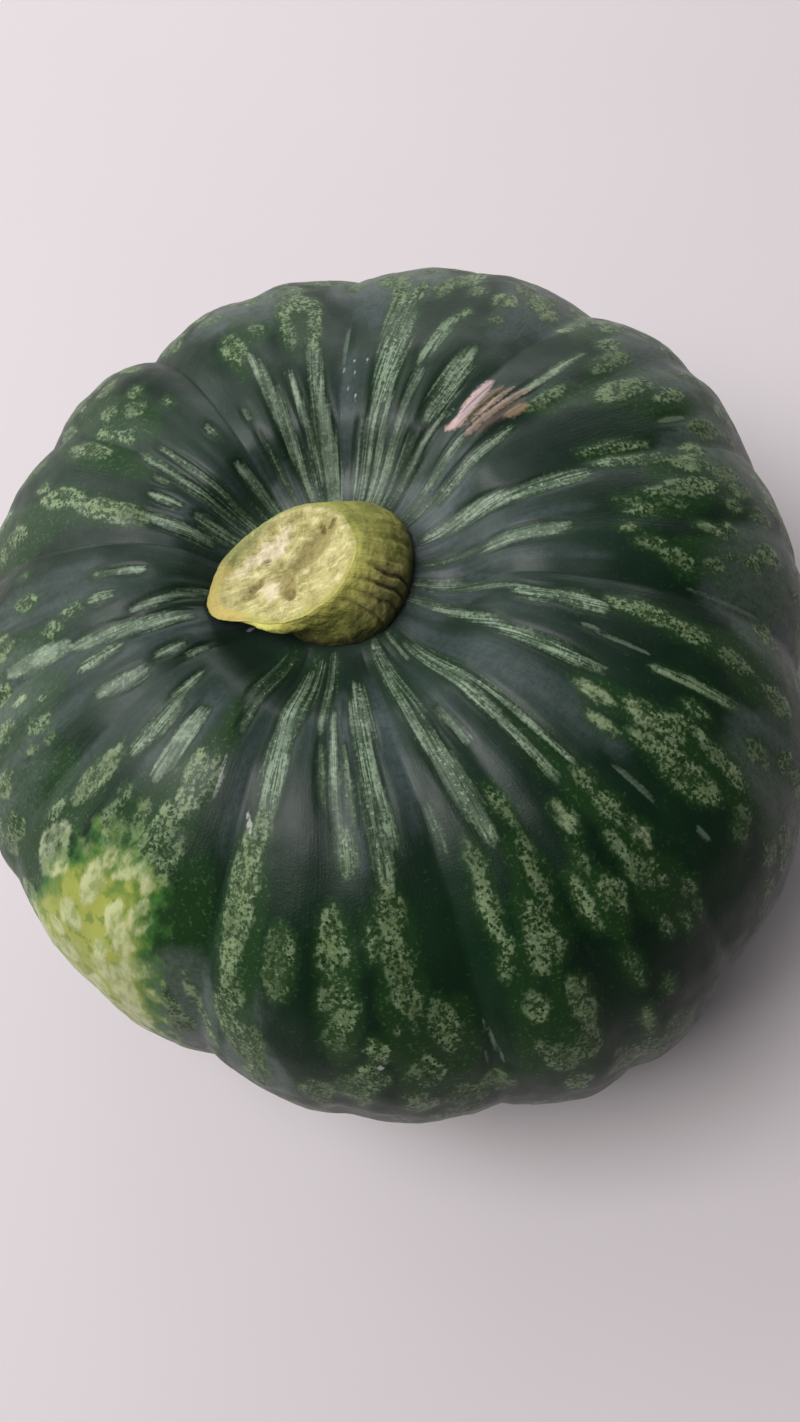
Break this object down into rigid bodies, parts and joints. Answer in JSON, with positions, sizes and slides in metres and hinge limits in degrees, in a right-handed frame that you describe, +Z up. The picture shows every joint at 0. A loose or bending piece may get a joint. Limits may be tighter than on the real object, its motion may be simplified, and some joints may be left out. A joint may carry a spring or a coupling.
{
  "type": "kabocha squash",
  "caption": "Whole kabocha squash: a squat, lobed fruit with a dark green mottled rind and the cut stub of its stalk.",
  "frame": {"origin": "bottom centre of the bounding box, on the surface that the fruit rests on", "axes": "+Z up, from the blossom end to the stalk, the fruit's shortest extent; the cut stalk leans towards -X; +X and +Y are level"},
  "size_m": [0.1852, 0.1954, 0.1136],
  "materials": {
    "rind": "waxy dark green rind with pale streaks and blotches",
    "stalk": "dull corky stalk with a rough pale cut face"
  },
  "bodies": {
    "root": {"squash_body": "rind", "stem": "stalk"}
  },
  "joints": []
}
